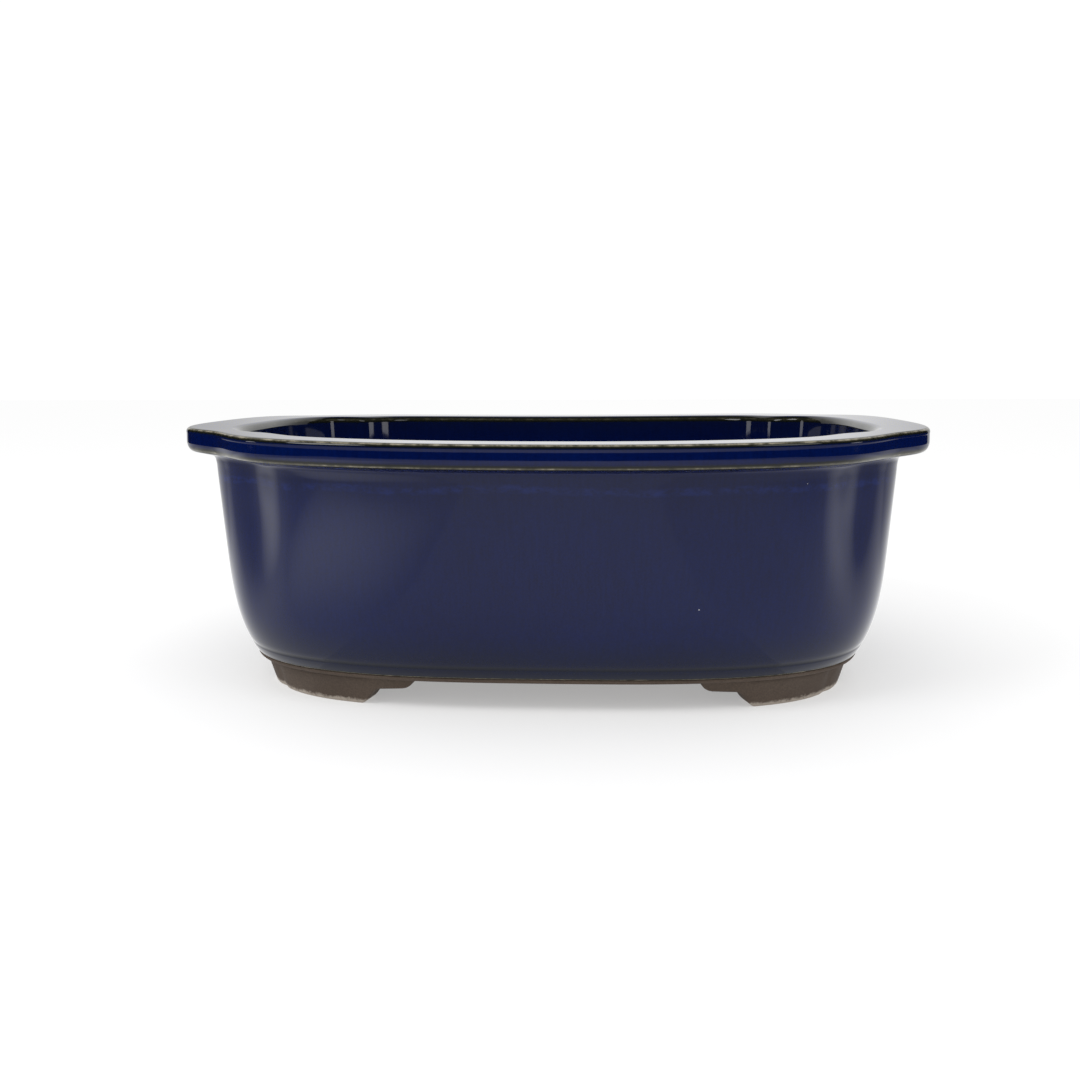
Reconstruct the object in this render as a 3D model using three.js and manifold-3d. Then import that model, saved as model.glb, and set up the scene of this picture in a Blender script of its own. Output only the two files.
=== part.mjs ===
// A glazed stoneware bonsai pot: a four-lobed rounded rectangle with a wide flat rim,
// four side walls that meet at creases, a floor slab with drain holes, and four bracket feet.
// Millimetres, +Z up. The origin is on the resting surface, under the middle of the pot.

import * as THREE from 'three';
import Module from 'manifold-3d';
import { mergeVertices } from 'three/addons/utils/BufferGeometryUtils.js';

const wasm = await Module();
wasm.setup();

// Driving dimensions.
const HALF_WIDTH = 150;          // rim outline, half of its length along X
const HALF_DEPTH = 115;          // rim outline, half of its length along Y
const OUTLINE_POWER = 2.92;      // 2 is an ellipse, larger is closer to a rectangle
const RIM_TOP = 100.5;           // at the middle of the long sides
const RIM_SWEEP = 2.5;           // how much higher the two ends of the rim stand
const FOOT_HEIGHT = 11.4;
const GAP = 0.3;                 // clearance between touching pieces

// The creases between the lobes, at polar angles from the X axis, the same in each quarter.
// Each is narrower on its flank towards the pot's end than on its flank towards the long side.
const RIM_CREASE = { angle: 0.54, depth: 8, endWidth: 0.12, sideWidth: 0.175 };
const WALL_CREASE = { angle: 0.65, depth: 6.2, endWidth: 0.1, sideWidth: 0.12 };
const CREASE_FADE = { gone: 18, full: 74 };  // heights between which the wall's creases grow

// The rim, as seen in its cross-section.
const RIM_WIDTH = 20.8;
const RIM_EDGE = 9;              // height of the outer face
const RIM_UNDERSIDE_DROP = 3.3;  // how much lower the underside is at the wall
const RIM_TOP_RADIUS = 1.8;
const RIM_BOTTOM_RADIUS = 2.6;

// The walls. Their outer face leans in a little, then curves in under the belly.
const OVERHANG = 11.3;
const TAPER = 5.2;
const BELLY = 8.8;
const BELLY_POWER = 6;
const WALL_THICKNESS = 9.4;

// The floor slab: its edge is the band under the walls, its raised middle is inside them.
const SLAB_BAND = 6;
const SLAB_THICKNESS = 9;
const SLAB_STEP_INSET = 31.5;
const BAND_PROUD = 0.4;
const DRAIN_HOLE = { radius: 14, x: 58 };
const WIRE_HOLE = { radius: 3.5, x: 30, y: 46 };

// The feet: brackets that follow the outline around each corner.
// Front ends are distances from the YZ plane, uneven as the feet were set on by hand.
const FOOT_FRONT_END = { frontLeft: 50, frontRight: 56.5, backLeft: 52.5, backRight: 51.5 };
const FOOT_SIDE_END = 28;        // distance from the XZ plane to the foot's side end
const FOOT_TOP_INSET = 27.2;
const FOOT_LEAN = { side: 3.1, front: 2.4 };  // how far the outer face leans in towards the sole
const FOOT_THICKNESS = 12;
const SCROLL = { lobe: 5.4, tread: 14, toe: 22, lobeDrop: 4.2, treadDrop: 4.9 };

const baseHeight = FOOT_HEIGHT;
const rimFoot = RIM_TOP - RIM_EDGE - RIM_UNDERSIDE_DROP;
const wallTop = rimFoot - GAP;
const wallFoot = baseHeight + SLAB_BAND + GAP;

const GLAZE = { color: 0x1c2450, roughness: 0.12, metalness: 0 };
const CLAY = { color: 0x584e45, roughness: 0.85, metalness: 0 };

const clamp = THREE.MathUtils.clamp;
const smoothstep = THREE.MathUtils.smoothstep;

/** A polar angle folded into the first quarter turn. */
function foldAngle(angle) {
  return Math.atan2(Math.abs(Math.sin(angle)), Math.abs(Math.cos(angle)));
}

/** How far a crease pushes the outline inward at a polar angle. */
function creaseDepth(angle, crease) {
  const offset = foldAngle(angle) - crease.angle;
  const distance = offset / (offset < 0 ? crease.endWidth : crease.sideWidth);
  return crease.depth * Math.exp(-distance * distance);
}

/** A point of the outline, moved inward along the outline's normal. */
function outlinePoint(angle, inset) {
  const c = Math.cos(angle);
  const s = Math.sin(angle);
  const power = OUTLINE_POWER;
  const sum = Math.abs(c / HALF_WIDTH) ** power + Math.abs(s / HALF_DEPTH) ** power;
  const radius = sum ** (-1 / power);
  const point = new THREE.Vector2(radius * c, radius * s);
  const normal = new THREE.Vector2(
    Math.sign(c) * Math.abs(point.x / HALF_WIDTH) ** (power - 1) / HALF_WIDTH,
    Math.sign(s) * Math.abs(point.y / HALF_DEPTH) ** (power - 1) / HALF_DEPTH,
  ).normalize();
  return point.addScaledVector(normal, -inset);
}

/** The rim's ends stand a little higher than its middle; the base is level. */
function sweptHeight(x, z) {
  const share = clamp((z - baseHeight) / (RIM_TOP - baseHeight), 0, 1);
  return z + RIM_SWEEP * share * (x / HALF_WIDTH) ** 2;
}

/** A point of the pot at a polar angle, an inset from the outline and a height. */
function potPoint(angle, inset, z) {
  const { x, y } = outlinePoint(angle, inset);
  return new THREE.Vector3(x, y, sweptHeight(x, z));
}

/** Inset of the wall's outer face at a height, away from the creases. */
function wallInset(z) {
  const share = (RIM_TOP - 10 - z) / (RIM_TOP - 10 - baseHeight);
  return OVERHANG + TAPER * share + BELLY * Math.max(share, 0) ** BELLY_POWER;
}

/** Polar angles from one angle to another, closer together at the creases. */
function outlineAngles(from, to) {
  const angles = [from];
  let angle = from;
  while (angle < to) {
    const nearCrease = Math.abs(foldAngle(angle) - WALL_CREASE.angle) < 0.3;
    angle += nearCrease ? 0.03 : 0.09;
    angles.push(Math.min(angle, to));
  }
  return angles;
}

/** Points of a circular arc in a cross-section, both ends included. */
function arc(inset, z, radius, from, to, steps) {
  return Array.from({ length: steps + 1 }, (_, i) => {
    const angle = THREE.MathUtils.degToRad(from + ((to - from) * i) / steps);
    return [inset + radius * Math.cos(angle), z + radius * Math.sin(angle)];
  });
}

/**
 * A closed solid swept through a row of sections, each a ring of as many points.
 * A closed row joins its last section to its first. An open one is capped at both ends,
 * and its rings go up the outer face and down the inner one.
 */
function sweep(sections, { closed = false } = {}) {
  const count = sections[0].length;
  const positions = sections.flat().flatMap((point) => point.toArray());
  const index = [];
  const spans = closed ? sections.length : sections.length - 1;
  for (let i = 0; i < spans; i += 1) {
    const here = i * count;
    const next = ((i + 1) % sections.length) * count;
    for (let j = 0; j < count; j += 1) {
      const k = (j + 1) % count;
      index.push(here + j, next + j, next + k, here + j, next + k, here + k);
    }
  }
  if (!closed) {
    const last = (sections.length - 1) * count;
    const flat = sections[0].map((p) => new THREE.Vector2(Math.hypot(p.x, p.y), p.z));
    for (const [a, b, c] of THREE.ShapeUtils.triangulateShape(flat, [])) {
      index.push(a, b, c, last + a, last + c, last + b);
    }
  }
  const geometry = new THREE.BufferGeometry();
  geometry.setAttribute('position', new THREE.Float32BufferAttribute(positions, 3));
  geometry.setIndex(index);
  return outwardFacing(geometry);
}

/** Turns a closed geometry inside out if its signed volume is negative. */
function outwardFacing(geometry) {
  const position = geometry.attributes.position;
  const index = geometry.index.array;
  const [a, b, c] = [new THREE.Vector3(), new THREE.Vector3(), new THREE.Vector3()];
  let volume = 0;
  for (let i = 0; i < index.length; i += 3) {
    a.fromBufferAttribute(position, index[i]);
    b.fromBufferAttribute(position, index[i + 1]);
    c.fromBufferAttribute(position, index[i + 2]);
    volume += a.dot(b.cross(c));
  }
  if (volume < 0) {
    index.reverse();
  }
  return geometry;
}

function toManifold(geometry) {
  const bare = geometry.clone();
  bare.deleteAttribute('normal');
  bare.deleteAttribute('uv');
  const merged = mergeVertices(bare, 1e-4);
  return new wasm.Manifold(new wasm.Mesh({
    numProp: 3,
    vertProperties: new Float32Array(merged.attributes.position.array),
    triVerts: new Uint32Array(merged.index.array),
  }));
}

function toGeometry(manifold) {
  const mesh = manifold.getMesh();
  const geometry = new THREE.BufferGeometry();
  geometry.setAttribute('position', new THREE.BufferAttribute(mesh.vertProperties, 3));
  geometry.setIndex(new THREE.BufferAttribute(mesh.triVerts, 1));
  return geometry;
}

/** The flat flange and its outer face. Its inner edge and its underside are creased with the walls. */
function rimGeometry() {
  const edgeFoot = RIM_TOP - RIM_EDGE;
  const section = [
    ...arc(RIM_TOP_RADIUS, RIM_TOP - RIM_TOP_RADIUS, RIM_TOP_RADIUS, 90, 180, 2),
    ...arc(RIM_BOTTOM_RADIUS, edgeFoot + RIM_BOTTOM_RADIUS, RIM_BOTTOM_RADIUS, 180, 255, 3),
    [OVERHANG, rimFoot],
    [RIM_WIDTH, rimFoot],
    ...arc(RIM_WIDTH - RIM_TOP_RADIUS, RIM_TOP - RIM_TOP_RADIUS, RIM_TOP_RADIUS, 0, 90, 2),
  ];
  const angles = outlineAngles(0, 2 * Math.PI).slice(0, -1);
  const sections = angles.map((angle) => section.map(([inset, z]) => {
    const reach = z > RIM_TOP - RIM_EDGE / 2 ? RIM_WIDTH : OVERHANG;
    const share = Math.min(inset / reach, 1);
    const outer = creaseDepth(angle, RIM_CREASE);
    const inner = creaseDepth(angle, WALL_CREASE);
    return potPoint(angle, inset + outer * (1 - share) + inner * share, z);
  }));
  return sweep(sections, { closed: true });
}

/** One side wall, between two creases. */
function wallGeometry(from, to) {
  const levels = 9;
  const heights = Array.from({ length: levels }, (_, i) => {
    const share = (i / (levels - 1)) ** 1.5;
    return wallFoot + (wallTop - wallFoot) * share;
  });
  const halfGap = GAP / 2 / (HALF_DEPTH + OVERHANG);
  const sections = outlineAngles(from + halfGap, to - halfGap).map((angle) => {
    const face = (z, thickness) => {
      const share = smoothstep(z, CREASE_FADE.gone, CREASE_FADE.full);
      const crease = creaseDepth(angle, WALL_CREASE) * share;
      return potPoint(angle, wallInset(z) + crease + thickness, z);
    };
    const outer = heights.map((z) => face(z, 0));
    const inner = heights.map((z) => face(z, WALL_THICKNESS)).reverse();
    return [...outer, ...inner];
  });
  return sweep(sections);
}

/** The floor slab, with two drain holes and four wire holes. */
function floorGeometry() {
  const bandTop = baseHeight + SLAB_BAND;
  const levels = [
    [wallInset(baseHeight) + 0.6, baseHeight],
    [wallInset(baseHeight + 1) - BAND_PROUD, baseHeight + 1],
    [wallInset(baseHeight + 3) - BAND_PROUD, baseHeight + 3],
    [wallInset(bandTop) - BAND_PROUD, bandTop],
    [SLAB_STEP_INSET, bandTop],
    [SLAB_STEP_INSET, baseHeight + SLAB_THICKNESS],
  ];
  const angles = outlineAngles(0, 2 * Math.PI).slice(0, -1);
  const sections = angles.map((angle) => [
    new THREE.Vector3(0, 0, baseHeight),
    ...levels.map(([inset, z]) => {
      const { x, y } = outlinePoint(angle, inset);
      return new THREE.Vector3(x, y, z);
    }),
    new THREE.Vector3(0, 0, baseHeight + SLAB_THICKNESS),
  ]);
  let slab = toManifold(withoutSlivers(sweep(sections, { closed: true })));
  for (const side of [-1, 1]) {
    slab = slab.subtract(holeCutter(side * DRAIN_HOLE.x, 0, DRAIN_HOLE.radius, 32));
    for (const end of [-1, 1]) {
      slab = slab.subtract(holeCutter(side * WIRE_HOLE.x, end * WIRE_HOLE.y, WIRE_HOLE.radius, 16));
    }
  }
  return toGeometry(slab);
}

/** Merges coincident points and drops the triangles that this leaves with no area. */
function withoutSlivers(geometry) {
  const merged = mergeVertices(geometry, 1e-4);
  const source = merged.index.array;
  const kept = [];
  for (let i = 0; i < source.length; i += 3) {
    const [a, b, c] = [source[i], source[i + 1], source[i + 2]];
    if (a !== b && b !== c && c !== a) {
      kept.push(a, b, c);
    }
  }
  merged.setIndex(kept);
  return merged;
}

function holeCutter(x, y, radius, segments) {
  const cutter = new THREE.CylinderGeometry(radius, radius, 3 * SLAB_THICKNESS, segments);
  cutter.rotateX(Math.PI / 2);
  cutter.translate(x, y, baseHeight);
  return toManifold(cutter);
}

/** How far a foot reaches down at a distance along it from its nearer end. */
function scrollDrop(distance) {
  const lobe = clamp(1 - distance / SCROLL.lobe, 0, 1);
  const round = SCROLL.lobeDrop * Math.sqrt(1 - lobe * lobe);
  const tread = (SCROLL.treadDrop - SCROLL.lobeDrop)
    * clamp((distance - SCROLL.lobe) / (SCROLL.tread - SCROLL.lobe), 0, 1);
  const toe = (FOOT_HEIGHT - SCROLL.treadDrop) * smoothstep(distance, SCROLL.tread, SCROLL.toe);
  return round + tread + toe;
}

/** Polar angle at which the outline at an inset crosses a given x or y. */
function angleWhere(axis, value, inset) {
  let low = 0;
  let high = Math.PI / 2;
  const rises = axis === 'y';
  for (let i = 0; i < 40; i += 1) {
    const middle = (low + high) / 2;
    const above = outlinePoint(middle, inset)[axis] > value;
    if (above === rises) {
      high = middle;
    } else {
      low = middle;
    }
  }
  return (low + high) / 2;
}

/** One bracket foot, built in the first quarter and mirrored to its own by the two signs. */
function footGeometry(signX, signY, frontEnd) {
  const from = angleWhere('y', FOOT_SIDE_END, FOOT_TOP_INSET);
  const to = angleWhere('x', frontEnd, FOOT_TOP_INSET);
  const steps = 200;
  const path = [{ angle: from, distance: 0 }];
  for (let i = 1; i <= steps; i += 1) {
    const angle = from + ((to - from) * i) / steps;
    const before = outlinePoint(path[i - 1].angle, FOOT_TOP_INSET);
    const here = outlinePoint(angle, FOOT_TOP_INSET);
    path.push({ angle, distance: path[i - 1].distance + here.distanceTo(before) });
  }
  const length = path[steps].distance;
  const angleAt = (distance) => {
    const after = Math.max(path.findIndex((p) => p.distance >= distance), 1);
    const [a, b] = [path[after - 1], path[after]];
    return THREE.MathUtils.mapLinear(distance, a.distance, b.distance, a.angle, b.angle);
  };
  const scroll = [
    ...[0.07, 0.25, 0.55, 1].map((share) => SCROLL.lobe * share),
    (SCROLL.lobe + SCROLL.tread) / 2,
    ...[0, 0.2, 0.4, 0.6, 0.8, 1].map((share) => THREE.MathUtils.lerp(SCROLL.tread, SCROLL.toe, share)),
  ];
  const straight = 8;
  const between = Array.from({ length: straight - 1 }, (_, i) => (
    SCROLL.toe + ((length - 2 * SCROLL.toe) * (i + 1)) / straight
  ));
  const stations = [...scroll, ...between, ...scroll.map((d) => length - d).reverse()];
  const top = baseHeight - GAP;
  const sections = stations.map((station) => {
    const angle = angleAt(station);
    const drop = scrollDrop(Math.min(station, length - station));
    const bottom = Math.min(baseHeight - drop, top - 0.6);
    const fullLean = THREE.MathUtils.lerp(FOOT_LEAN.side, FOOT_LEAN.front, smoothstep(angle, 0.5, 0.8));
    const lean = (fullLean * (top - bottom)) / FOOT_HEIGHT;
    const corners = [
      [FOOT_TOP_INSET + lean, bottom],
      [FOOT_TOP_INSET, top],
      [FOOT_TOP_INSET + FOOT_THICKNESS, top],
      [FOOT_TOP_INSET + FOOT_THICKNESS, bottom],
    ];
    return corners.map(([inset, z]) => {
      const { x, y } = outlinePoint(angle, inset);
      return new THREE.Vector3(signX * x, signY * y, z);
    });
  });
  return sweep(sections);
}

const group = new THREE.Group();

function add(name, geometry, finish) {
  const mesh = new THREE.Mesh(geometry, new THREE.MeshStandardMaterial(finish));
  mesh.name = name;
  group.add(mesh);
}

const corner = WALL_CREASE.angle;
const creases = [-corner, corner, Math.PI - corner, Math.PI + corner];
add('rim', rimGeometry(), GLAZE);
add('wall_right', wallGeometry(creases[0], creases[1]), GLAZE);
add('wall_back', wallGeometry(creases[1], creases[2]), GLAZE);
add('wall_left', wallGeometry(creases[2], creases[3]), GLAZE);
add('wall_front', wallGeometry(creases[3], creases[0] + 2 * Math.PI), GLAZE);
add('floor', floorGeometry(), CLAY);
add('foot_front_left', footGeometry(-1, -1, FOOT_FRONT_END.frontLeft), CLAY);
add('foot_front_right', footGeometry(1, -1, FOOT_FRONT_END.frontRight), CLAY);
add('foot_back_left', footGeometry(-1, 1, FOOT_FRONT_END.backLeft), CLAY);
add('foot_back_right', footGeometry(1, 1, FOOT_FRONT_END.backRight), CLAY);

export default group;
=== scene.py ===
"""Looks of a cobalt-glazed, lobed bonsai pot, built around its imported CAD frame.

The frame gives the places. The pot's own sizes are in millimetres: each piece has a section,
written as (inset from the rim's outline, height), that is swept round the pot's outline. The
camera and the studio are in metres, as Blender is.
"""
import math

import bmesh
import bpy
import numpy as np
from mathutils import Euler, Matrix, Vector


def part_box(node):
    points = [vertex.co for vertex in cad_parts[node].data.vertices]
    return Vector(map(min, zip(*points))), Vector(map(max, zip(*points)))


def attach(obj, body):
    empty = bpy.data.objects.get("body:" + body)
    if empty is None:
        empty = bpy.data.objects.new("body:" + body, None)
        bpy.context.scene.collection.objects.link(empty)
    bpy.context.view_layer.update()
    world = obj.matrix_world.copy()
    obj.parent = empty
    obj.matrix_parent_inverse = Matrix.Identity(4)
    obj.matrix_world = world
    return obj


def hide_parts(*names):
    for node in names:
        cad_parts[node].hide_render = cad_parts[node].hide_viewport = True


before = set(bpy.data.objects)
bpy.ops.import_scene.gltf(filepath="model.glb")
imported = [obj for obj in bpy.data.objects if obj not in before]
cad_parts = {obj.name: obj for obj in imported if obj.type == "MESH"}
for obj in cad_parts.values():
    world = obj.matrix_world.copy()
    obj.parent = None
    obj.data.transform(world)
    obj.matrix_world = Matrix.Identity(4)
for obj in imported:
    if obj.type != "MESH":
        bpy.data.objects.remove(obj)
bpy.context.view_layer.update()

MM = 0.001

# The outline of the rim, seen from above.
rim_low, rim_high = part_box("rim")
floor_low, floor_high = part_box("floor")
HALF_WIDTH = (rim_high.x - rim_low.x) / 2 / MM
HALF_DEPTH = (rim_high.y - rim_low.y) / 2 / MM
OUTLINE_POWER = 2.92

# A crease is its polar angle, its depth, and its widths towards the pot's end and its side.
RIM_CREASE = (0.54, 8.0, 0.12, 0.175)
WALL_CREASE = (0.65, 6.2, 0.1, 0.12)
FOOT_CREASE = (0.55, 0.7, 0.03, 0.03)
CREASE_FADE = (18.0, 74.0)       # heights between which the wall's creases grow

# How the corners' creases differ, by the signs of X and Y: depth as a share, shift in angle.
RIM_STRENGTH = {(-1, -1): 1.05, (1, -1): 0.8, (-1, 1): 1.0, (1, 1): 0.95}
WALL_STRENGTH = {(-1, -1): 0.82, (1, -1): 0.8, (-1, 1): 0.9, (1, 1): 0.95}
WALL_SHIFT = {(-1, -1): 0.0, (1, -1): -0.03, (-1, 1): 0.01, (1, 1): -0.01}

# Heights, from the frame.
BASE = floor_low.z / MM
FLOOR_TOP = floor_high.z / MM
RIM_SWEEP = 2.5
RIM_TOP = round(rim_high.z / MM - RIM_SWEEP, 1)
WALL_TOP = RIM_TOP - 10          # where the wall's taper starts, just under the rim

# Sections, as in the CAD.
RIM_WIDTH = 20.8
RIM_EDGE = 9.0
OVERHANG = 11.3
TAPER = 5.2
BELLY = 8.8
BELLY_POWER = 6
WALL_THICKNESS = 9.4

# Details that the glaze and the potter's tools give the section. Pairs are (inward, up).
GLAZE_LINE = BASE + 2.1          # outer height below which the clay is bare
INNER_GLAZE_LINE = 70.0
GLAZE_THICKNESS = 0.35
TOP_ROUND = 1.8                  # radii of the rim's edges
INNER_ROUND = 3.2
BOTTOM_ROUND = (2.3, 3.5)
UNDERSIDE_FALL = 0.7             # how far the rim's underside falls towards the wall
FILLET = (3.4, 2.4)              # between the rim's underside and the wall
BAND_HEIGHT = 3.9                # the band at the wall's foot, and the groove above it
BAND_BULGE = 0.12
GROOVE_DEPTH = 0.14
GROOVE_WIDTH = 0.9
HEEL = 7.0                       # radius between the inner wall and the floor
SLAB_STEP = 31.2                 # inset of the slab's raised part

SKIN = 0.2                       # how far the visual surface stays inside the CAD's
TWIST = 0.35                     # how far the kiln has raised two corners and lowered two
WAVE = 0.15                      # half the slow unevenness of the outline
AROUND = 480                     # steps round the outline


# ---------------------------------------------------------------- outline and sweeping

def fold(angle):
    """Polar angles folded into the first quarter turn."""
    return np.arctan2(np.abs(np.sin(angle)), np.abs(np.cos(angle)))


def crease(angle, centre, depth, end_width, side_width):
    """How far a crease pushes the outline inward, sharper on one flank than on the other."""
    offset = fold(angle) - centre
    return depth * np.exp(-(offset / np.where(offset < 0, end_width, side_width)) ** 2)


def by_corner(angle, values):
    """The value of the corner that each angle lies in. The potter pressed each corner's crease
    by hand, so they differ a little in depth and place."""
    chosen = np.zeros_like(angle)
    for (sign_x, sign_y), value in values.items():
        here = (np.cos(angle) * sign_x >= 0) & (np.sin(angle) * sign_y >= 0)
        chosen = np.where(here, value, chosen)
    return chosen


def smoothstep(value, low, high):
    share = np.clip((value - low) / (high - low), 0, 1)
    return share * share * (3 - 2 * share)


def outline(angle, inset):
    """Points of the rim's outline, moved inward along its normal."""
    c, s = np.cos(angle), np.sin(angle)
    power = OUTLINE_POWER
    radius = (np.abs(c / HALF_WIDTH) ** power + np.abs(s / HALF_DEPTH) ** power) ** (-1 / power)
    x, y = radius * c, radius * s
    nx = np.sign(c) * np.abs(x / HALF_WIDTH) ** (power - 1) / HALF_WIDTH
    ny = np.sign(s) * np.abs(y / HALF_DEPTH) ** (power - 1) / HALF_DEPTH
    length = np.hypot(nx, ny)
    return x - inset * nx / length, y - inset * ny / length


def wall_inset(z):
    """The inset of the wall's outer face: an even taper, and a belly that turns in at the foot."""
    share = (WALL_TOP - z) / (WALL_TOP - BASE)
    return OVERHANG + TAPER * share + BELLY * np.maximum(share, 0) ** BELLY_POWER


def swept_height(x, y, z):
    """The rim's ends stand higher than its middle, and the kiln has twisted it slightly."""
    share = np.clip((z - BASE) / (RIM_TOP - BASE), 0, 1)
    twist = TWIST * (x / HALF_WIDTH) * (y / HALF_DEPTH)
    return z + share * (RIM_SWEEP * (x / HALF_WIDTH) ** 2 + twist)


def hand_wave(angle):
    """The slow unevenness of a hand-finished outline, from nothing to twice WAVE."""
    waves = np.sin(3 * angle + 0.7) + 0.7 * np.sin(5 * angle + 2.1) + 0.4 * np.sin(9 * angle + 4)
    return WAVE + WAVE * waves / 2.1


def link_object(name, data):
    """A new object in the scene."""
    made = bpy.data.objects.new(name, data)
    bpy.context.scene.collection.objects.link(made)
    return made


def make_object(name, verts, faces, materials, face_slots=None):
    """A smooth mesh object from points in millimetres."""
    mesh = bpy.data.meshes.new(name)
    mesh.from_pydata([tuple(v) for v in verts * MM], [], faces)
    for material in materials:
        mesh.materials.append(material)
    if face_slots is not None:
        mesh.polygons.foreach_set("material_index", face_slots)
    mesh.polygons.foreach_set("use_smooth", [True] * len(mesh.polygons))
    mesh.update()
    return link_object(name, mesh)


def ring_faces(rows, columns, rows_closed):
    """Quads between neighbouring rows; each row's columns form a closed loop."""
    faces = []
    for i in range(rows if rows_closed else rows - 1):
        here, there = i * columns, (i + 1) % rows * columns
        for j in range(columns):
            k = (j + 1) % columns
            faces.append((here + j, there + j, there + k, here + k))
    return faces


def arc(inset, z, radius, start, end, steps):
    """Points of an arc in a section, both ends included; 0 degrees points inward, 90 up."""
    turn = np.radians(np.linspace(start, end, steps + 1))
    return [(inset + radius * math.cos(t), z + radius * math.sin(t)) for t in turn]


def line(start, end, steps):
    """Points of a straight run in a section, its first end included and its last not."""
    share = np.arange(steps) / steps
    return [(start[0] + (end[0] - start[0]) * t, start[1] + (end[1] - start[1]) * t)
            for t in share]


# ---------------------------------------------------------------- the glazed rim and walls

EDGE_FOOT = RIM_TOP - RIM_EDGE
FILLET_FOOT = EDGE_FOOT - UNDERSIDE_FALL - FILLET[1]
BAND_TOP = GLAZE_LINE + BAND_HEIGHT
SEAT = GLAZE_LINE - 0.1          # the hidden faces that rest on the slab
INNER_SEAT = FLOOR_TOP + 0.06


def inner_face(z):
    """The inset of the wall's bare inner face."""
    return wall_inset(z) + WALL_THICKNESS


def plain(points, thin=0.0):
    """Section points that share one thinness of glaze."""
    return [(inset, z, thin) for inset, z in points]


def along_edge(points, sharpest, width, most=1.0):
    """Gives the points of a rounded edge their thin glaze, thinnest where it turns sharpest."""
    share = np.linspace(0, 1, len(points))
    thin = most * np.exp(-((share - sharpest) / width) ** 2)
    return [(inset, z, t) for (inset, z), t in zip(points, thin)]


def inside_runs(heel_inset):
    """Up the inner wall: bare clay, the step where the glaze starts, and glaze."""
    clay_heights = np.linspace(FLOOR_TOP + HEEL, INNER_GLAZE_LINE, 18)[:-1]
    glazed_heights = INNER_GLAZE_LINE + GLAZE_THICKNESS + 15 * np.linspace(0, 1, 16) ** 1.3
    step = inner_face(INNER_GLAZE_LINE)
    return {
        "heel": plain(arc(heel_inset, FLOOR_TOP + HEEL, HEEL, 270, 180, 8)[:-1]),
        "bare inside": plain([(inner_face(z), z) for z in clay_heights]),
        "glaze step": plain([(step + 0.02, INNER_GLAZE_LINE - 0.05),
                             (step + 0.3, INNER_GLAZE_LINE + 0.1)], 0.6),
        "glazed inside": plain([(inner_face(z) + GLAZE_THICKNESS, z) for z in glazed_heights]),
    }


def rim_runs():
    """Across the rim and down its outer face, with the glaze thin on its edges."""
    inner_edge = arc(RIM_WIDTH - INNER_ROUND - SKIN, RIM_TOP - INNER_ROUND - SKIN,
                     INNER_ROUND, 0, 90, 14)
    top_edge = arc(TOP_ROUND, RIM_TOP - 0.1 - TOP_ROUND, TOP_ROUND, 90, 176, 12)
    inward, up = BOTTOM_ROUND
    bottom_edge = [(inward * (1 - math.cos(t)), EDGE_FOOT + up * (1 - math.sin(t)))
                   for t in np.radians(np.linspace(0, 84, 14))]
    return {
        "inner edge": along_edge(inner_edge, 0.35, 0.25, 0.7),
        "top": plain(line((RIM_WIDTH - 4, RIM_TOP - SKIN), (2.4, RIM_TOP - 0.1), 12)),
        "top edge": along_edge(top_edge, 0.42, 0.34),
        "outer face": plain(line((0.1, RIM_TOP - 2.3), (0, EDGE_FOOT + up + 0.2), 4)),
        "bottom edge": along_edge(bottom_edge, 0.62, 0.2, 0.9),
    }


def outside_runs():
    """Under the rim and down the outer wall, to the bead where the glaze ends."""
    inward, up = FILLET
    underside_end = (OVERHANG - inward, EDGE_FOOT - UNDERSIDE_FALL)
    fillet = [(underside_end[0] + inward * math.sin(t), FILLET_FOOT + up * math.cos(t))
              for t in np.radians(np.linspace(0, 90, 10))]
    wall_heights = np.linspace(FILLET_FOOT - 1.2, BAND_TOP + 1.4, 44)
    groove = [(wall_inset(z) + GROOVE_DEPTH * math.exp(-((z - BAND_TOP - 0.4) / GROOVE_WIDTH) ** 2), z)
              for z in np.linspace(BAND_TOP + 1.2, BAND_TOP, 7)]
    band = [(wall_inset(z) - BAND_BULGE * math.sin(math.pi * (BAND_TOP - z) / BAND_HEIGHT), z)
            for z in np.linspace(BAND_TOP - 0.3, GLAZE_LINE + 0.5, 9)]
    lip = band[-1][0] + 0.1
    return {
        "underside": plain(line((2.5, EDGE_FOOT - 0.02), underside_end, 4)),
        "fillet": plain(fillet),
        "wall": plain([(wall_inset(z), z) for z in wall_heights]),
        "groove": plain(groove, 0.12),
        "band": plain(band),
        "bead": [(lip, GLAZE_LINE + 0.3, 0.8), (lip + 0.2, GLAZE_LINE + 0.07, 1.0),
                 (lip + 0.45, GLAZE_LINE, 1.0)],
        "seat": plain(line((lip + 0.9, SEAT), (SLAB_STEP, SEAT), 3)),
    }


def shell_section():
    """The closed section of the rim and walls, as named runs of (inset, height, thin glaze).

    It starts at the foot of the inner face, climbs it, crosses the rim, comes down outside and
    closes along the hidden faces that rest on the slab.
    """
    heel_inset = inner_face(FLOOR_TOP + HEEL) + HEEL
    hidden = {
        "back": plain(line((SLAB_STEP, SEAT), (SLAB_STEP, INNER_SEAT), 3)),
        "sole": plain(line((SLAB_STEP, INNER_SEAT), (heel_inset, INNER_SEAT), 3)),
    }
    return inside_runs(heel_inset) | rim_runs() | outside_runs() | hidden


BARE_RUNS = ("heel", "bare inside", "seat", "back", "sole")


def glaze_line_wave(angle, inset, z):
    """How far the glaze's lower edge inside the pot wanders up and down."""
    near_the_line = np.exp(-((z - INNER_GLAZE_LINE) / 6) ** 2) * (inset > 15)
    return near_the_line * (1.1 * np.sin(7 * angle) + 0.8 * np.sin(17 * angle + 1))


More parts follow.
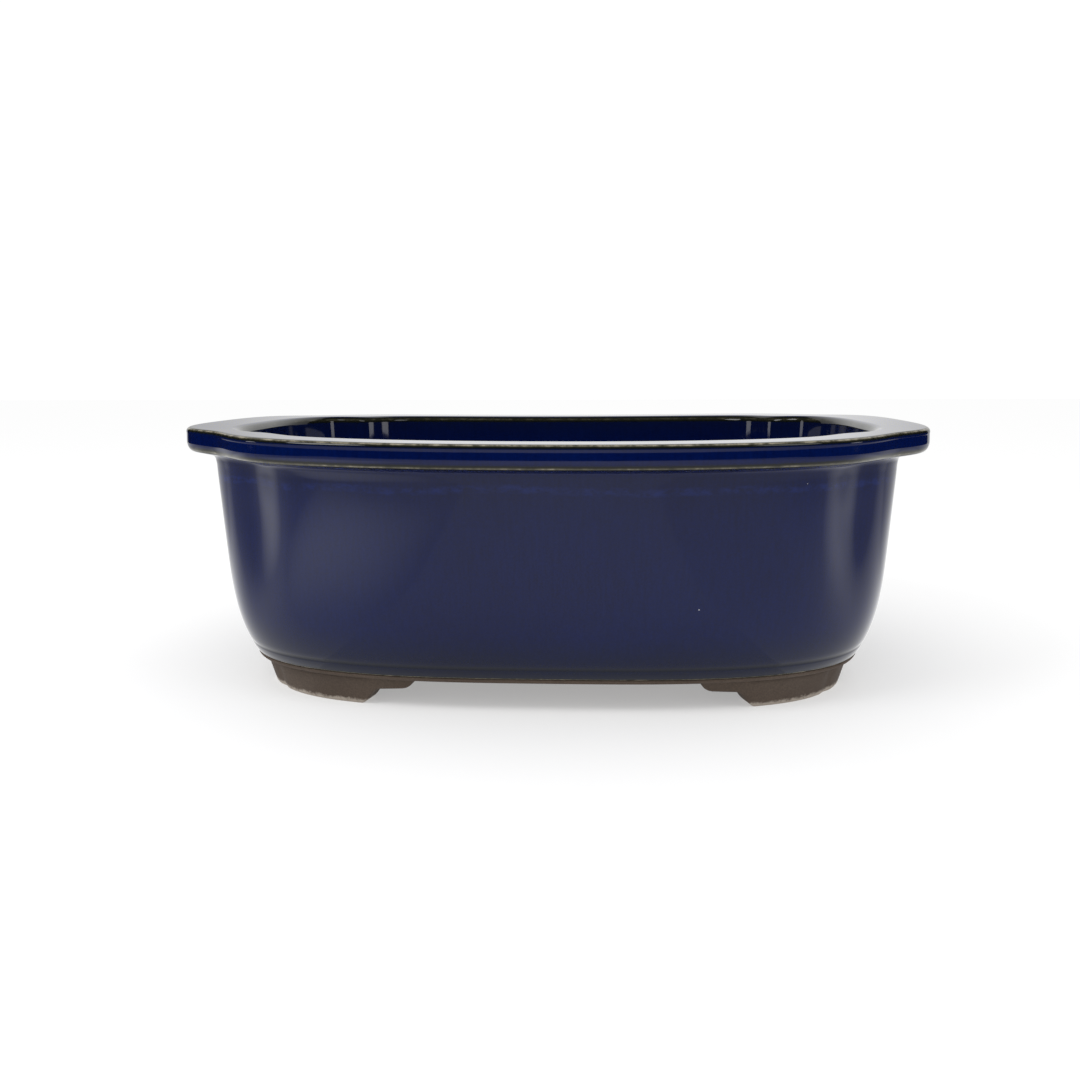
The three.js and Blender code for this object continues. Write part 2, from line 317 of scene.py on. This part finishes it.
def build_shell(glaze, clay):
    """The rim and the walls under one coat of glaze, with bare clay low down inside."""
    runs = shell_section()
    names = [name for name, points in runs.items() for _ in points]
    section = np.array([point for points in runs.values() for point in points])
    inset, z = section[:, 0][None, :], section[:, 1][None, :]
    angle = np.linspace(0, 2 * np.pi, AROUND, endpoint=False)[:, None]

    reach = OVERHANG + (RIM_WIDTH - OVERHANG) * smoothstep(z, RIM_TOP - RIM_EDGE + 1, RIM_TOP - 2)
    rim_share = np.clip(1 - inset / reach, 0, 1)
    rim_crease = crease(angle, *RIM_CREASE) * by_corner(angle, RIM_STRENGTH)
    centre, *shape = WALL_CREASE
    wall_crease = crease(angle, centre + by_corner(angle, WALL_SHIFT), *shape)
    wall_crease = wall_crease * by_corner(angle, WALL_STRENGTH) * smoothstep(z, *CREASE_FADE)
    creased = inset + rim_share * rim_crease + (1 - rim_share) * wall_crease
    waved = creased + (SKIN + hand_wave(angle)) * smoothstep(z, 20, 60)
    x, y = outline(angle, waved)
    height = swept_height(x, y, z + glaze_line_wave(angle, inset, z))
    verts = np.stack([x, y, height], axis=-1).reshape(-1, 3)

    columns = len(names)
    faces = ring_faces(AROUND, columns, rows_closed=True)
    bare = [names[j] in BARE_RUNS for j in range(columns)]
    face_slots = [1 if bare[face % columns] else 0 for face in range(len(faces))]
    shell = make_object("glazed_rim_and_walls", verts, faces, (glaze, clay), face_slots)
    store(shell, "thin_glaze", np.tile(section[:, 2], AROUND))
    fix_normals(shell)
    return shell


def store(piece, name, values):
    """Keeps a number at each point of a piece, for its material to read."""
    attribute = piece.data.attributes.new(name, "FLOAT", "POINT")
    attribute.data.foreach_set("value", np.asarray(values, dtype=np.float32))


def fix_normals(piece):
    """Turns every face of a closed mesh outward."""
    work = bmesh.new()
    work.from_mesh(piece.data)
    bmesh.ops.recalc_face_normals(work, faces=work.faces)
    work.to_mesh(piece.data)
    work.free()


# ---------------------------------------------------------------- the floor slab

# Holes are their place, their radius and the flare of their mouths.
DRAIN_HOLES = [(side * 58, 0, 14, 1.2) for side in (-1, 1)]
WIRE_HOLES = [(side * 30, end * 46, 3.5, 0.6) for side in (-1, 1) for end in (-1, 1)]


def hole_cutter(x, y, radius, flare):
    """A solid that cuts a round hole whose two mouths are flared by the potter's finger."""
    low, high = BASE, FLOOR_TOP
    section = [(radius + flare, low - 1), (radius + flare, low)]
    section += [(radius + flare - flare * math.sin(t), low + flare * (1 - math.cos(t)))
                for t in np.radians(np.linspace(0, 90, 6))]
    section += [(radius + flare - flare * math.sin(t), high - flare * (1 - math.cos(t)))
                for t in np.radians(np.linspace(90, 0, 6))]
    section += [(radius + flare, high), (radius + flare, high + 1)]
    turns = np.linspace(0, 2 * np.pi, 64, endpoint=False)
    work = bmesh.new()
    rings = [[work.verts.new(Vector((x + r * math.cos(t), y + r * math.sin(t), z)) * MM)
              for t in turns] for r, z in section]
    for lower, upper in zip(rings, rings[1:]):
        for i in range(len(turns)):
            k = (i + 1) % len(turns)
            work.faces.new((lower[i], lower[k], upper[k], upper[i]))
    work.faces.new(rings[0][::-1])
    work.faces.new(rings[-1])
    bmesh.ops.remove_doubles(work, verts=work.verts, dist=1e-6)
    bmesh.ops.recalc_face_normals(work, faces=work.faces)
    mesh = bpy.data.meshes.new("hole_cutter")
    work.to_mesh(mesh)
    work.free()
    return link_object("hole_cutter", mesh)


def build_floor(clay):
    """The slab: its bare rounded edge shows under the glaze, its top is the planting floor."""
    edge, seat, step = wall_inset(GLAZE_LINE) + 0.2, SEAT - 0.05, SLAB_STEP + 0.3
    section = [(edge + 3.2, BASE)]
    section += [(edge + 1.9 * (1 - math.cos(t)), BASE + 1.2 * (1 - math.sin(t)))
                for t in np.radians(np.linspace(90, 0, 9))]
    section += [(edge + 0.05, seat - 0.3), (edge + 0.4, seat), (step, seat), (step, FLOOR_TOP)]
    angle = np.linspace(0, 2 * np.pi, AROUND, endpoint=False)
    rings = []
    for inset, z in section:
        x, y = outline(angle, inset + 0.5 * hand_wave(angle))
        rings.append(np.stack([x, y, np.full_like(x, z)], axis=-1))
    verts = np.concatenate(rings)
    faces = []
    for i in range(len(rings) - 1):
        for j in range(AROUND):
            k = (j + 1) % AROUND
            faces.append((i * AROUND + j, i * AROUND + k, (i + 1) * AROUND + k, (i + 1) * AROUND + j))
    faces.append(tuple(range(AROUND))[::-1])
    faces.append(tuple((len(rings) - 1) * AROUND + j for j in range(AROUND)))
    slab = make_object("clay_floor", verts, faces, (clay,))
    fix_normals(slab)
    for x, y, radius, flare in DRAIN_HOLES + WIRE_HOLES:
        cutter = hole_cutter(x, y, radius, flare)
        cut = slab.modifiers.new("hole", "BOOLEAN")
        cut.object = cutter
        cut.operation = "DIFFERENCE"
        cut.solver = "EXACT"
        apply_modifiers(slab)
        bpy.data.objects.remove(cutter)
    return slab


def apply_modifiers(piece):
    graph = bpy.context.evaluated_depsgraph_get()
    mesh = bpy.data.meshes.new_from_object(piece.evaluated_get(graph))
    piece.modifiers.clear()
    piece.data = mesh


# ---------------------------------------------------------------- the feet

FOOT_FRONT_END = {"front_left": 50.0, "front_right": 56.5, "back_left": 52.5, "back_right": 51.5}
FOOT_SIDE_END = 28.0
FOOT_TOP_INSET = 27.2
FOOT_FRONT_LEAN, FOOT_SIDE_LEAN = 2.4, 3.1
FOOT_THICKNESS = 12.0
SCROLL_LOBE, SCROLL_TREAD, SCROLL_TOE = 5.4, 14.0, 22.0
LOBE_DROP, TREAD_DROP = 4.2, 4.9


def scroll_drop(distance):
    """How far a foot reaches down at a distance along it from its nearer end."""
    lobe = np.clip(1 - distance / SCROLL_LOBE, 0, 1)
    tread = np.clip((distance - SCROLL_LOBE) / (SCROLL_TREAD - SCROLL_LOBE), 0, 1)
    toe = smoothstep(distance, SCROLL_TREAD, SCROLL_TOE)
    drop = LOBE_DROP * np.sqrt(1 - lobe ** 2)
    return drop + (TREAD_DROP - LOBE_DROP) * tread + (BASE - TREAD_DROP) * toe


def foot_path(front_end):
    """Polar angles along a foot and the distance along it, from its side end to its front end."""
    angle = np.linspace(0, np.pi / 2, 4001)
    x, y = outline(angle, FOOT_TOP_INSET)
    kept = (y >= FOOT_SIDE_END) & (x >= front_end)
    x, y, angle = x[kept], y[kept], angle[kept]
    distance = np.concatenate([[0], np.cumsum(np.hypot(np.diff(x), np.diff(y)))])
    return angle, distance


def foot_stations(length):
    """Distances along a foot, close together over the scrolls at its two ends."""
    end = np.concatenate([0.1 + (SCROLL_LOBE - 0.1) * np.linspace(0, 1, 9) ** 1.5,
                          np.linspace(SCROLL_LOBE + 1, SCROLL_TREAD, 7),
                          np.linspace(SCROLL_TREAD + 0.5, SCROLL_TOE, 14)])
    middle = np.linspace(SCROLL_TOE + 1, length - SCROLL_TOE - 1, 40)
    return np.concatenate([end, middle, (length - end)[::-1]])


def foot_section(angle, top, low):
    """The section across a foot as (inset, height), with softened arrises and a leaning face."""
    height = top - low
    r = min(0.8, 0.3 * height)
    turn = smoothstep(angle, 0.5, 0.8)
    lean = (FOOT_SIDE_LEAN + (FOOT_FRONT_LEAN - FOOT_SIDE_LEAN) * turn) * height / BASE
    front, back = FOOT_TOP_INSET + 0.05, FOOT_TOP_INSET + FOOT_THICKNESS
    section = [(front + 0.3, top), (front, top - 0.2 * r)]
    section += [(front + lean * t, top - (height - r) * t) for t in (0.2, 0.4, 0.6, 0.8, 0.95)]
    section += [(front + lean + r - r * math.cos(t), low + r - r * math.sin(t))
                for t in np.radians((10, 30, 50, 70, 90))]
    section += [(front + lean + 3, low), (back - 3, low)]
    section += [(back - r + r * math.sin(t), low + r - r * math.cos(t))
                for t in np.radians((0, 30, 60, 90))]
    section += [(back, low + height / 2), (back, top)]
    inset, z = np.array(section).T
    dent = crease(angle, *FOOT_CREASE) * (inset < front + lean + 2)
    return inset + dent, z


def build_foot(corner, sign_x, sign_y, clay):
    """One bracket foot, its front and side ends cut as scrolls."""
    path_angle, path_distance = foot_path(FOOT_FRONT_END[corner])
    length = path_distance[-1]
    stations = foot_stations(length)
    angle = np.interp(stations, path_distance, path_angle)
    top = BASE - 0.05
    drop = scroll_drop(np.minimum(stations, length - stations))
    bottom = np.minimum(BASE - drop, top - 0.5)
    rows = []
    for a, low in zip(angle, bottom):
        inset, z = foot_section(a, top, low)
        x, y = outline(np.full(len(inset), a), inset)
        rows.append(np.stack([sign_x * x, sign_y * y, z], axis=-1))
    columns = len(rows[0])
    verts = np.concatenate(rows)
    faces = ring_faces(len(rows), columns, rows_closed=False)
    faces.append(tuple(range(columns)))
    faces.append(tuple(range(len(verts) - columns, len(verts)))[::-1])
    foot = make_object(f"clay_foot_{corner}", verts, faces, (clay,))
    fix_normals(foot)
    return foot


# ---------------------------------------------------------------- materials

def new_material(name):
    material = bpy.data.materials.new(name)
    material.use_nodes = True
    tree = material.node_tree
    shader = tree.nodes["Principled BSDF"]
    return material, tree, shader


def add(tree, kind, **settings):
    """A new node; each setting is an input's value where an input has that name."""
    node = tree.nodes.new(kind)
    for key, value in settings.items():
        if key in node.inputs:
            node.inputs[key].default_value = value
        else:
            setattr(node, key, value)
    return node


def join(tree, source, target):
    tree.links.new(source, target)


def noise_texture(tree, vector, scale, detail, roughness):
    node = add(tree, "ShaderNodeTexNoise", Scale=scale, Detail=detail, Roughness=roughness)
    join(tree, vector, node.inputs["Vector"])
    return node.outputs["Fac"]


def ramp(tree, value, stops):
    """A colour ramp: stops are (position, colour)."""
    node = tree.nodes.new("ShaderNodeValToRGB")
    elements = node.color_ramp.elements
    while len(elements) < len(stops):
        elements.new(0.5)
    for element, (position, colour) in zip(elements, stops):
        element.position = position
        element.color = (*colour, 1)
    join(tree, value, node.inputs["Fac"])
    return node.outputs["Color"]


def mix_colour(tree, share, first, second, blend="MIX"):
    node = add(tree, "ShaderNodeMix", data_type="RGBA", blend_type=blend)
    for value, socket in ((share, node.inputs[0]), (first, node.inputs[6]), (second, node.inputs[7])):
        if isinstance(value, bpy.types.NodeSocket):
            join(tree, value, socket)
        elif isinstance(value, tuple):
            socket.default_value = (*value, 1)
        else:
            socket.default_value = value
    return node.outputs[2]


def maths(tree, operation, first, second=0.0, clamp=False):
    node = add(tree, "ShaderNodeMath", operation=operation, use_clamp=clamp)
    for value, socket in ((first, node.inputs[0]), (second, node.inputs[1])):
        if isinstance(value, bpy.types.NodeSocket):
            join(tree, value, socket)
        else:
            socket.default_value = value
    return node.outputs[0]


def stretched(tree, vector, scale):
    """A vector multiplied along X, Y and Z, which draws a texture out along the least of them."""
    node = add(tree, "ShaderNodeVectorMath", operation="MULTIPLY")
    join(tree, vector, node.inputs[0])
    node.inputs[1].default_value = scale
    return node.outputs["Vector"]


def window(tree, value, centre, half_width):
    """One at the centre of a band of values, falling smoothly to nothing at its sides."""
    offset = maths(tree, "DIVIDE", maths(tree, "SUBTRACT", value, centre), half_width)
    square = maths(tree, "MULTIPLY", offset, offset)
    return maths(tree, "SUBTRACT", 1.0, square, clamp=True)


def melted_blue(tree, place):
    """Cobalt that clouds slowly, with the grain of the melt and its fine downward runs."""
    cloud = noise_texture(tree, place, 18, 3, 0.5)
    blue = ramp(tree, cloud, [(0.3, (0.0003, 0.0032, 0.036)), (0.7, (0.0004, 0.0044, 0.044))])
    grain = noise_texture(tree, place, 1300, 3, 0.7)
    runs = noise_texture(tree, stretched(tree, place, (900, 900, 90)), 1, 3, 0.6)
    texture = maths(tree, "ADD", maths(tree, "MULTIPLY", grain, 0.6), maths(tree, "MULTIPLY", runs, 0.4))
    fleck = ramp(tree, texture, [(0.38, (0.8, 0.78, 0.8)), (0.62, (1.2, 1.25, 1.2))])
    return mix_colour(tree, 1.0, blue, fleck, "MULTIPLY")


def height_changes(tree, place, blue):
    """Painted highlight and painted shade by height: a broken band of brighter blue just under the rim,
    and the glaze darkened towards the wall's foot.
    """
    height = add(tree, "ShaderNodeSeparateXYZ")
    join(tree, place, height.inputs["Vector"])
    wander = maths(tree, "MULTIPLY", noise_texture(tree, place, 25, 2, 0.5), 0.004)
    level = maths(tree, "ADD", height.outputs["Z"], wander)
    # Painted highlight: a patchy band of brighter blue about 15 mm under the rim, standing in for the
    # bright reflection there.
    patches = noise_texture(tree, stretched(tree, place, (230, 230, 420)), 1, 3, 0.65)
    patchy = maths(tree, "MULTIPLY", maths(tree, "SUBTRACT", patches, 0.4), 4.0, clamp=True)
    painted_streak = maths(tree, "MULTIPLY", window(tree, level, RIM_TOP * MM - 0.0148, 0.0017), patchy)
    blue = mix_colour(tree, maths(tree, "MULTIPLY", painted_streak, 0.4), blue, (0.006, 0.02, 0.14))
    # Painted shade: the glaze darkens over its lowest 20 mm above the glaze line, standing in for the
    # shadowed table that the wall's foot reflects.
    above_line = maths(tree, "SUBTRACT", level, GLAZE_LINE * MM)
    foot_shade = maths(tree, "SUBTRACT", 1.0, maths(tree, "DIVIDE", above_line, 0.02), clamp=True)
    return mix_colour(tree, maths(tree, "MULTIPLY", foot_shade, 0.85), blue, (0.003, 0.005, 0.010))


def broken_edges(tree, place, colour):
    """Where the glaze is thin it breaks through black and olive to the colour of the clay."""
    thin = add(tree, "ShaderNodeAttribute", attribute_name="thin_glaze").outputs["Fac"]
    uneven = maths(tree, "MULTIPLY", noise_texture(tree, place, 220, 4, 0.7), 0.9)
    share = maths(tree, "MULTIPLY", thin, maths(tree, "ADD", uneven, 0.5), clamp=True)
    breaking = ramp(tree, share, [(0.3, (0.004, 0.005, 0.004)), (0.62, (0.014, 0.014, 0.009)),
                                  (0.85, (0.075, 0.07, 0.05)), (1.0, (0.26, 0.235, 0.18))])
    return mix_colour(tree, maths(tree, "MULTIPLY", share, 4.0, clamp=True), colour, breaking)


def pale_specks(tree, place, colour):
    """A few pale specks of kiln dust, one in some of the cells of a coarse division of space."""
    cells = add(tree, "ShaderNodeTexVoronoi", Scale=55.0)
    join(tree, place, cells.inputs["Vector"])
    rare = add(tree, "ShaderNodeSeparateColor")
    join(tree, cells.outputs["Color"], rare.inputs["Color"])
    chosen = maths(tree, "GREATER_THAN", rare.outputs[0], 0.72)
    near = maths(tree, "LESS_THAN", cells.outputs["Distance"], 0.016)
    return mix_colour(tree, maths(tree, "MULTIPLY", chosen, near), colour, (0.3, 0.3, 0.32))


def add_relief(tree, shader, relief, strength, depth):
    bump = add(tree, "ShaderNodeBump", Strength=strength, Distance=depth)
    join(tree, relief, bump.inputs["Height"])
    join(tree, bump.outputs["Normal"], shader.inputs["Normal"])


def glaze_material():
    """Deep cobalt gloss glaze: grainy in the melt, olive to tan where it runs thin on an edge."""
    material, tree, shader = new_material("cobalt_glaze")
    place = add(tree, "ShaderNodeTexCoord").outputs["Object"]
    colour = height_changes(tree, place, melted_blue(tree, place))
    colour = broken_edges(tree, place, colour)
    colour = pale_specks(tree, place, colour)
    join(tree, colour, shader.inputs["Base Color"])

    sheen = noise_texture(tree, place, 35, 3, 0.5)
    rough = maths(tree, "ADD", maths(tree, "MULTIPLY", sheen, 0.06), 0.03)
    join(tree, rough, shader.inputs["Roughness"])
    swell = noise_texture(tree, place, 40, 2, 0.4)
    pits = noise_texture(tree, place, 700, 2, 0.5)
    relief = maths(tree, "ADD", swell, maths(tree, "MULTIPLY", pits, 0.03))
    add_relief(tree, shader, relief, 0.12, 0.0004)
    shader.inputs["IOR"].default_value = 1.5
    shader.inputs["Specular IOR Level"].default_value = 0.29
    return material


def clay_material():
    """Bare grey-brown stoneware: fine sandy grain, white kiln wash at the soles."""
    material, tree, shader = new_material("bare_clay")
    place = add(tree, "ShaderNodeTexCoord").outputs["Object"]

    cloud = noise_texture(tree, place, 40, 4, 0.6)
    grain = noise_texture(tree, place, 1600, 2, 0.6)
    body = ramp(tree, cloud, [(0.3, (0.060, 0.042, 0.031)), (0.7, (0.082, 0.060, 0.045))])
    sand = ramp(tree, grain, [(0.3, (0.7, 0.7, 0.7)), (0.7, (1.25, 1.25, 1.25))])
    clay = mix_colour(tree, 0.7, body, sand, "MULTIPLY")

    height = add(tree, "ShaderNodeSeparateXYZ")
    join(tree, place, height.inputs["Vector"])
    reach = maths(tree, "MULTIPLY", noise_texture(tree, place, 420, 5, 0.8), 0.0042)
    low = maths(tree, "SUBTRACT", reach, height.outputs["Z"])
    wash = maths(tree, "MULTIPLY", low, 900, clamp=True)
    dusted = mix_colour(tree, wash, clay, (0.3, 0.26, 0.22))
    join(tree, dusted, shader.inputs["Base Color"])

    rough = maths(tree, "ADD", maths(tree, "MULTIPLY", grain, 0.2), 0.7)
    join(tree, rough, shader.inputs["Roughness"])
    relief = maths(tree, "ADD", maths(tree, "MULTIPLY", grain, 0.4), cloud)
    add_relief(tree, shader, relief, 0.5, 0.0003)
    shader.inputs["Specular IOR Level"].default_value = 0.3
    return material


# ---------------------------------------------------------------- camera, lights, floor

CAMERA_AZIMUTH = math.radians(2.77)    # to the right of the pot's own front
CAMERA_DISTANCE = 0.45
CAMERA_ABOVE_RIM = 0.024
CAMERA_PITCH = math.radians(9.41)
CAMERA_ROLL = math.radians(0.15)
CAMERA_LENS = 34.2
CAMERA_SHIFT = -0.0170                 # the pot sits a little right of the frame's middle

# The studio: how far each card stands from the pot's middle, and how bright things are.
FLOOR_REACH = 4.0
FLOOR_COLOUR = (0.6, 0.6, 0.6)
FLOOR_GLOW = 0.35
CARD_COLOUR = (0.01, 0.01, 0.012)
SIDE = 0.95
FRONT = -1.15
TOP = 1.2
TOP_BACK = 0.75                        # where the top card and the table's end cards stop
BACKDROP = 0.9
BACKDROP_TOP = 0.7
TABLE_LIFT = 0.001                     # the table's end cards lie just above the floor
TABLE_START = 0.095
FADE_START, FADE_END = 0.2, 0.55       # distances along X between which a card's glow fades
MIDDLE_GLOW = 1.03
TABLE_END_GLOW = 0.66
BACKDROP_END_GLOW = 0.6
WORLD_BRIGHTNESS = 1.05

# Soft lit spots on the table's ends: x, y, half widths along X and Y, and brightness.
LEFT_SPOTS = [(-0.45, 0.04, 0.3, 0.09, 0.4), (-0.24, -0.25, 0.14, 0.14, 0.9)]
RIGHT_SPOTS = [(0.45, -0.01, 0.3, 0.1, 0.5)]

# Round lamps: name, place, target, diameter and power. The umbrellas light the inner creases.
LAMPS = [
    ("softbox_left", (-0.62, -0.5, 0.75), (0, 0, 0.05), 0.4, 3),
    ("softbox_right", (0.62, -0.5, 0.75), (0, 0, 0.05), 0.4, 1.2),
    ("umbrella_left", (-0.73, -0.12, 0.165), (0.1, 0.07, 0.09), 0.16, 0.23),
    ("umbrella_right", (0.73, -0.12, 0.165), (-0.1, 0.07, 0.09), 0.16, 0.23),
]


def add_camera():
    data = bpy.data.cameras.new("camera")
    data.lens = CAMERA_LENS
    data.shift_x = CAMERA_SHIFT
    camera = link_object("camera", data)
    camera.location = (CAMERA_DISTANCE * math.sin(CAMERA_AZIMUTH),
                       -CAMERA_DISTANCE * math.cos(CAMERA_AZIMUTH),
                       RIM_TOP * MM + CAMERA_ABOVE_RIM)
    turn = Euler((math.pi / 2 - CAMERA_PITCH, 0, CAMERA_AZIMUTH)).to_matrix()
    camera.rotation_euler = (turn @ Matrix.Rotation(-CAMERA_ROLL, 3, "Z")).to_euler()
    bpy.context.scene.camera = camera


def add_lamp(name, place, target, diameter, power):
    data = bpy.data.lights.new(name, "AREA")
    data.shape = "DISK"
    data.size = diameter
    data.energy = power
    light = link_object(name, data)
    light.location = place
    light.rotation_mode = "QUATERNION"
    light.rotation_quaternion = (Vector(target) - Vector(place)).to_track_quat("-Z", "Y")


def level_piece(name, low, high, z, colour, glow=0.0):
    """A level stage piece between two opposite corners."""
    corners = [(low[0], low[1], z), (high[0], low[1], z), (high[0], high[1], z), (low[0], high[1], z)]
    return flat_piece(name, corners, colour, glow)


def flat_piece(name, corners, colour, glow=0.0):
    """A flat, matt stage piece that may glow."""
    mesh = bpy.data.meshes.new(name)
    mesh.from_pydata(corners, [], [tuple(range(len(corners)))])
    material, _, shader = new_material(name)
    shader.inputs["Base Color"].default_value = (*colour, 1)
    shader.inputs["Roughness"].default_value = 0.9
    shader.inputs["Specular IOR Level"].default_value = 0.0
    shader.inputs["Emission Color"].default_value = (1, 1, 1, 1)
    shader.inputs["Emission Strength"].default_value = glow
    mesh.materials.append(material)
    piece = link_object(name, mesh)
    return piece


def only_reflected(card):
    """Lets a card show in the glaze's reflections and nowhere else."""
    card.visible_camera = False
    card.visible_diffuse = False
    card.visible_shadow = False
    return card


def level_card(name, low, high, z):
    return only_reflected(level_piece(name, low, high, z, CARD_COLOUR))


def upright_card(name, start, end, height):
    """A card that stands on the floor along a line."""
    corners = [(*start, 0), (*end, 0), (*end, height), (*start, height)]
    return only_reflected(flat_piece(name, corners, CARD_COLOUR))


def glow_by_place(card, end_glow, spots=()):
    """Makes a card glow evenly near the middle and fade towards its ends, with soft lit spots."""
    tree = card.data.materials[0].node_tree
    place = add(tree, "ShaderNodeSeparateXYZ")
    join(tree, add(tree, "ShaderNodeTexCoord").outputs["Object"], place.inputs["Vector"])
    fade = add(tree, "ShaderNodeMapRange", interpolation_type="SMOOTHSTEP")
    join(tree, maths(tree, "ABSOLUTE", place.outputs["X"]), fade.inputs["Value"])
    fade.inputs["From Min"].default_value = FADE_START
    fade.inputs["From Max"].default_value = FADE_END
    fade.inputs["To Min"].default_value = MIDDLE_GLOW
    fade.inputs["To Max"].default_value = end_glow
    glow = fade.outputs["Result"]
    for x, y, half_x, half_y, brightness in spots:
        across = window(tree, place.outputs["X"], x, half_x)
        along = window(tree, place.outputs["Y"], y, half_y)
        spot = maths(tree, "MULTIPLY", maths(tree, "MULTIPLY", across, along), brightness)
        glow = maths(tree, "ADD", glow, spot)
    join(tree, glow, tree.nodes["Principled BSDF"].inputs["Emission Strength"])


def add_cards():
    """The studio that the glaze mirrors: dark in front, above and beside the pot, pale behind it
    and along the table."""
    upright_card("flag_front", (-SIDE, FRONT), (SIDE, FRONT), TOP)
    level_card("flag_top", (-SIDE, FRONT), (SIDE, TOP_BACK), TOP)
    for name, sign, spots in (("left", -1, LEFT_SPOTS), ("right", 1, RIGHT_SPOTS)):
        side = sign * SIDE
        upright_card(f"flag_{name}", (side, FRONT), (side, BACKDROP), TOP)
        table = level_card(f"table_end_{name}", (sign * TABLE_START, FRONT), (side, TOP_BACK), TABLE_LIFT)
        glow_by_place(table, TABLE_END_GLOW, spots)
    backdrop = upright_card("backdrop", (-SIDE, BACKDROP), (SIDE, BACKDROP), BACKDROP_TOP)
    glow_by_place(backdrop, BACKDROP_END_GLOW)


def add_stage():
    reach = FLOOR_REACH
    level_piece("floor_plane", (-reach, -reach), (reach, reach), 0, FLOOR_COLOUR, FLOOR_GLOW)
    add_cards()
    world = bpy.data.worlds.new("studio")
    world.use_nodes = True
    world.node_tree.nodes["Background"].inputs["Color"].default_value = (1, 1, 1, 1)
    world.node_tree.nodes["Background"].inputs["Strength"].default_value = WORLD_BRIGHTNESS
    bpy.context.scene.world = world
    for lamp in LAMPS:
        add_lamp(*lamp)
    bpy.context.scene.view_settings.view_transform = "Standard"


# ---------------------------------------------------------------- put together

add_camera()
add_stage()
glaze = glaze_material()
clay = clay_material()

shell = build_shell(glaze, clay)
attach(shell, "root")
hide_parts("rim", "wall_front", "wall_back", "wall_left", "wall_right")

slab = build_floor(clay)
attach(slab, "root")
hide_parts("floor")

for side, sign_x in (("left", -1), ("right", 1)):
    for end, sign_y in (("front", -1), ("back", 1)):
        corner = f"{end}_{side}"
        foot = build_foot(corner, sign_x, sign_y, clay)
        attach(foot, "root")
        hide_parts(f"foot_{corner}")
